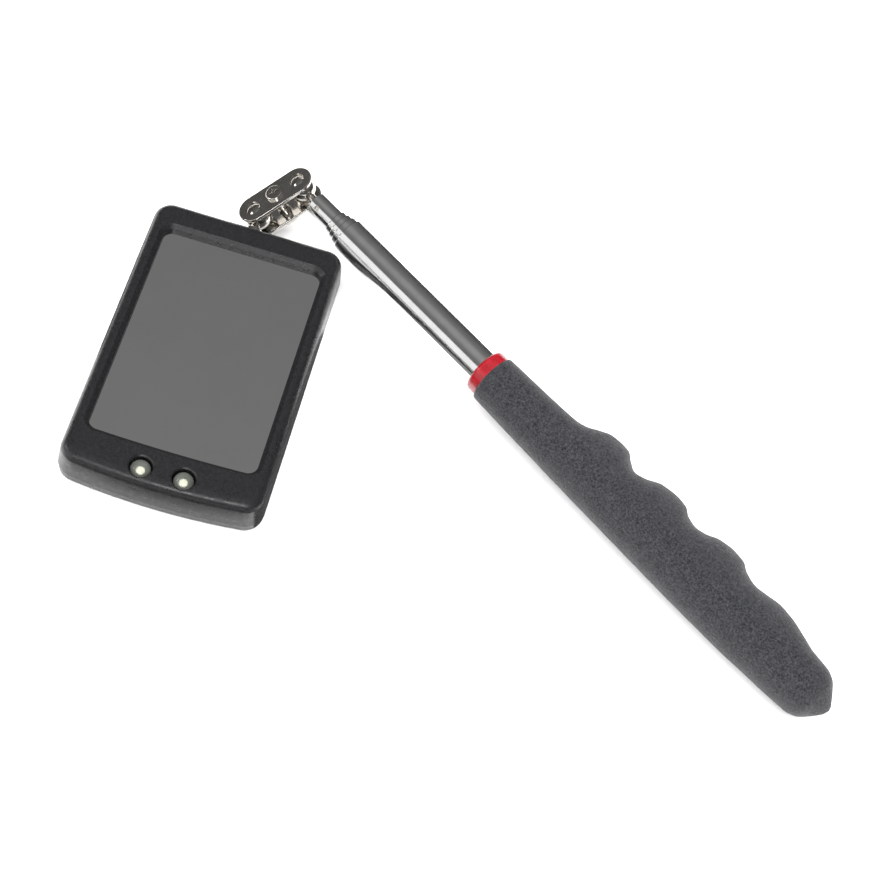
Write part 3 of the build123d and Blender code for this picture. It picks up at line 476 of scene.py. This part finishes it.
def flag(name, corners, grey):
    """A dark card that only shows in reflections, as photographers stand by shiny metal."""
    bm = bmesh.new()
    bm.faces.new([bm.verts.new(corner) for corner in corners])
    card = Finish(name)
    card.colours(card.noise(0.05), (grey, grey, grey), (grey * 1.1, grey * 1.1, grey * 1.1))
    card.roughness(card.noise(0.05), 0.9, 1.0)
    piece = add_mesh(name, bm, card.material)
    piece.visible_camera = piece.visible_diffuse = piece.visible_shadow = False


def make_flags():
    """Cards on the table: one along the rod, beside the head, and one past the head's foot."""
    front = ROD_BALL - BUTT * ROD_FLAG_PAST_TIP * MM
    back = ROD_BALL + BUTT * ROD_FLAG_ALONG * MM
    near, far = ROD_FLAG_NEAR * MM, ROD_FLAG_FAR * MM
    edges = ((front, near), (back, near), (back, far), (front, far))
    flag("rod_flag", [(end.x, end.y + side, 0.0) for end, side in edges], ROD_FLAG_GREY)

    shell = [v.co for v in frame["nodes"]["front_bezel"].data.vertices]
    foot = min(co.dot(HEAD_Y) for co in shell)
    middle = sum((co.dot(HEAD_X) for co in shell), 0.0) / len(shell)
    near, far = foot - HEAD_FLAG_NEAR * MM, foot - HEAD_FLAG_FAR * MM
    half = HEAD_FLAG_HALF * MM
    edges = ((-half, near), (half, near), (half, far), (-half, far))
    corners = [HEAD_X * (middle + along) + HEAD_Y * away for along, away in edges]
    flag("head_flag", corners, HEAD_FLAG_GREY)


def make_sky():
    """A plain grey room, lighter overhead, that the camera itself sees as white."""
    world = bpy.data.worlds.new("studio")
    world.use_nodes = True
    tree = world.node_tree
    room = tree.nodes["Background"]
    place = tree.nodes.new("ShaderNodeTexCoord")
    split = tree.nodes.new("ShaderNodeSeparateXYZ")
    tree.links.new(place.outputs["Generated"], split.inputs["Vector"])
    shade = tree.nodes.new("ShaderNodeValToRGB")
    ramp = shade.color_ramp
    while len(ramp.elements) < len(SKY_STOPS):
        ramp.elements.new(0.5)
    for element, (position, grey) in zip(ramp.elements, SKY_STOPS):
        element.position = position
        element.color = (grey, grey, grey, 1)
    tree.links.new(split.outputs["Z"], shade.inputs["Fac"])
    tree.links.new(shade.outputs["Color"], room.inputs["Color"])
    white = tree.nodes.new("ShaderNodeBackground")
    path = tree.nodes.new("ShaderNodeLightPath")
    mix = tree.nodes.new("ShaderNodeMixShader")
    tree.links.new(path.outputs["Is Camera Ray"], mix.inputs["Fac"])
    tree.links.new(room.outputs["Background"], mix.inputs[1])
    tree.links.new(white.outputs["Background"], mix.inputs[2])
    tree.links.new(mix.outputs["Shader"], tree.nodes["World Output"].inputs["Surface"])
    SCENE.world = world


def softbox(name, azimuth, elevation, distance, width, height, radiance, glossy=True):
    """An area lamp facing the origin, in degrees and metres; azimuth goes from +X to +Y."""
    a, e = math.radians(azimuth), math.radians(elevation)
    place = Vector((math.cos(a) * math.cos(e), math.sin(a) * math.cos(e), math.sin(e)))
    data = bpy.data.lights.new(name, "AREA")
    data.shape = "RECTANGLE"
    data.size, data.size_y = width, height
    data.energy = radiance * math.pi * width * height
    lamp = bpy.data.objects.new(name, data)
    SCENE.collection.objects.link(lamp)
    lamp.location = place * distance
    lamp.rotation_mode = "QUATERNION"
    lamp.rotation_quaternion = place.to_track_quat("Z", "Y")
    lamp.visible_camera = False
    lamp.visible_glossy = glossy


def make_lights():
    softbox("side_softbox", 74, 24, 1.2, 1.3, 0.78, 0.95)
    softbox("edge_softbox", 128, 40, 1.2, 0.6, 0.26, 7.5)
    softbox("low_lamp", 35, 24, 1.2, 0.2, 0.2, 8.0)
    softbox("overhead_fill", 90, 88, 1.5, 3.6, 3.6, 3.9, glossy=False)


def make_camera():
    data = bpy.data.cameras.new("camera")
    data.lens = LENS_MM
    data.sensor_width = SENSOR_MM
    camera = bpy.data.objects.new("camera", data)
    SCENE.collection.objects.link(camera)
    back = (CAMERA_PLACE - CAMERA_AIM).normalized()
    right = CAMERA_UP.cross(back).normalized()
    axes = Matrix((right, back.cross(right), back)).transposed()
    camera.matrix_world = Matrix.Translation(CAMERA_PLACE) @ axes.to_4x4()
    SCENE.camera = camera


finish_cad_nodes()
make_grip()
make_lamp_insides("led_left", "left")
make_lamp_insides("led_right", "right")
make_floor()
make_flags()
make_sky()
make_lights()
make_camera()
SCENE.view_settings.view_transform = "Standard"

bpy.context.view_layer.update()
